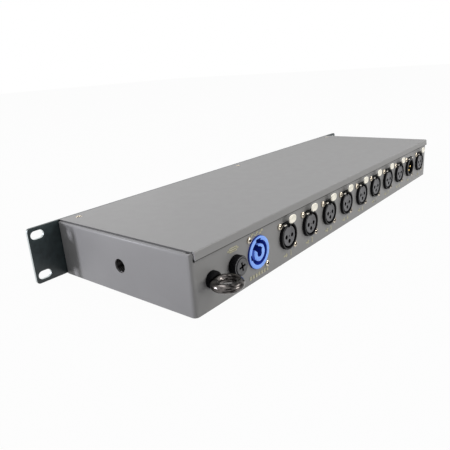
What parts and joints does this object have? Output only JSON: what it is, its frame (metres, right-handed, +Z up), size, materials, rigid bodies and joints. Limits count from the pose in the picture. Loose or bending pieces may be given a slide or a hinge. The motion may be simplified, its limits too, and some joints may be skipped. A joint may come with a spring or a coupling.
{
  "type": "dmx splitter",
  "caption": "Low, wide rack-mount lighting signal splitter: slotted ears in front, a row of round sockets, twist-lock mains inlet, fuse holder and eye bolt behind, threaded side holes.",
  "frame": {"origin": "middle of the case's underside", "axes": "+X along the case towards the mains end, +Y out of the rear panel with the sockets, +Z up"},
  "size_m": [0.4826, 0.1635, 0.044],
  "materials": {
    "powder_grey": "fine-textured grey powder coat on folded steel sheet",
    "black_plate": "satin black coat with bright worn edges",
    "black_plastic": "moulded, satin",
    "insert_grey": "moulded, satin",
    "tab_metal": "cast and plated, soft sheen",
    "inlet_blue": "moulded, half gloss",
    "nickel": "bright plated screw",
    "black_chrome": "polished black nickel",
    "gold": "plated contact",
    "steel": "zinc-plated",
    "board_green": "lacquered circuit board",
    "fuse_glass": "clear tube",
    "lead_black": "insulated wire",
    "lead_blue": "insulated wire",
    "ribbon_grey": "flat ribbon cable"
  },
  "bodies": {
    "case": {"chassis": "powder_grey", "top_cover": "powder_grey", "front_panel": "black_plate", "output_1_socket": "black_plastic", "output_2_socket": "black_plastic", "output_3_socket": "black_plastic", "output_4_socket": "black_plastic", "output_5_socket": "black_plastic", "output_6_socket": "black_plastic", "output_7_socket": "black_plastic", "output_8_socket": "black_plastic", "thru_socket": "black_plastic", "input_socket": "black_plastic", "output_1_insert": "insert_grey", "output_2_insert": "insert_grey", "output_3_insert": "insert_grey", "output_4_insert": "insert_grey", "output_5_insert": "insert_grey", "output_6_insert": "insert_grey", "output_7_insert": "insert_grey", "output_8_insert": "insert_grey", "thru_insert": "insert_grey", "input_pins": "gold", "power_inlet": "inlet_blue", "inlet_screw_upper": "nickel", "inlet_screw_lower": "nickel", "fuse_holder": "black_plastic", "fuse_nut": "black_plastic", "eye_bolt": "black_chrome", "eye_collar": "black_plastic", "eye_nut": "steel", "clamp_insert_left": "steel", "clamp_insert_right": "steel", "main_board": "board_green", "power_supply": "board_green", "indicator_board": "board_green", "cover_screw_left": "nickel", "cover_screw_centre": "nickel", "cover_screw_right": "nickel", "panel_screw_1": "steel", "panel_screw_2": "steel", "panel_screw_3": "steel", "panel_screw_4": "steel", "live_lead": "lead_black", "neutral_lead": "lead_blue", "supply_lead": "lead_black", "indicator_ribbon": "ribbon_grey"},
    "output_1_tab": {"output_1_latch": "tab_metal"},
    "output_2_tab": {"output_2_latch": "tab_metal"},
    "output_3_tab": {"output_3_latch": "tab_metal"},
    "output_4_tab": {"output_4_latch": "tab_metal"},
    "output_5_tab": {"output_5_latch": "tab_metal"},
    "output_6_tab": {"output_6_latch": "tab_metal"},
    "output_7_tab": {"output_7_latch": "tab_metal"},
    "output_8_tab": {"output_8_latch": "tab_metal"},
    "thru_tab": {"thru_latch": "tab_metal"},
    "fuse_carrier": {"fuse_link": "fuse_glass"},
    "fuse_knob": {"fuse_cap": "black_plastic"}
  },
  "joints": [
    {"name": "output_1_push", "type": "slide", "parent": "case", "child": "output_1_tab", "axis": [0, -1, 0], "range_m": [0, 0.0025], "stiffness_N_per_m": 400},
    {"name": "output_2_push", "type": "slide", "parent": "case", "child": "output_2_tab", "axis": [0, -1, 0], "range_m": [0, 0.0025], "stiffness_N_per_m": 400},
    {"name": "output_3_push", "type": "slide", "parent": "case", "child": "output_3_tab", "axis": [0, -1, 0], "range_m": [0, 0.0025], "stiffness_N_per_m": 400},
    {"name": "output_4_push", "type": "slide", "parent": "case", "child": "output_4_tab", "axis": [0, -1, 0], "range_m": [0, 0.0025], "stiffness_N_per_m": 400},
    {"name": "output_5_push", "type": "slide", "parent": "case", "child": "output_5_tab", "axis": [0, -1, 0], "range_m": [0, 0.0025], "stiffness_N_per_m": 400},
    {"name": "output_6_push", "type": "slide", "parent": "case", "child": "output_6_tab", "axis": [0, -1, 0], "range_m": [0, 0.0025], "stiffness_N_per_m": 400},
    {"name": "output_7_push", "type": "slide", "parent": "case", "child": "output_7_tab", "axis": [0, -1, 0], "range_m": [0, 0.0025], "stiffness_N_per_m": 400},
    {"name": "output_8_push", "type": "slide", "parent": "case", "child": "output_8_tab", "axis": [0, -1, 0], "range_m": [0, 0.0025], "stiffness_N_per_m": 400},
    {"name": "thru_push", "type": "slide", "parent": "case", "child": "thru_tab", "axis": [0, -1, 0], "range_m": [0, 0.0025], "stiffness_N_per_m": 400},
    {"name": "fuse_draw", "type": "slide", "parent": "case", "child": "fuse_carrier", "axis": [0, 1, 0], "range_m": [0, 0.03]},
    {"name": "fuse_turn", "type": "hinge", "parent": "fuse_carrier", "child": "fuse_knob", "pos_m": [0.1747, 0.07, 0.021], "axis": [0, 1, 0], "range_deg": [0, 90]}
  ]
}
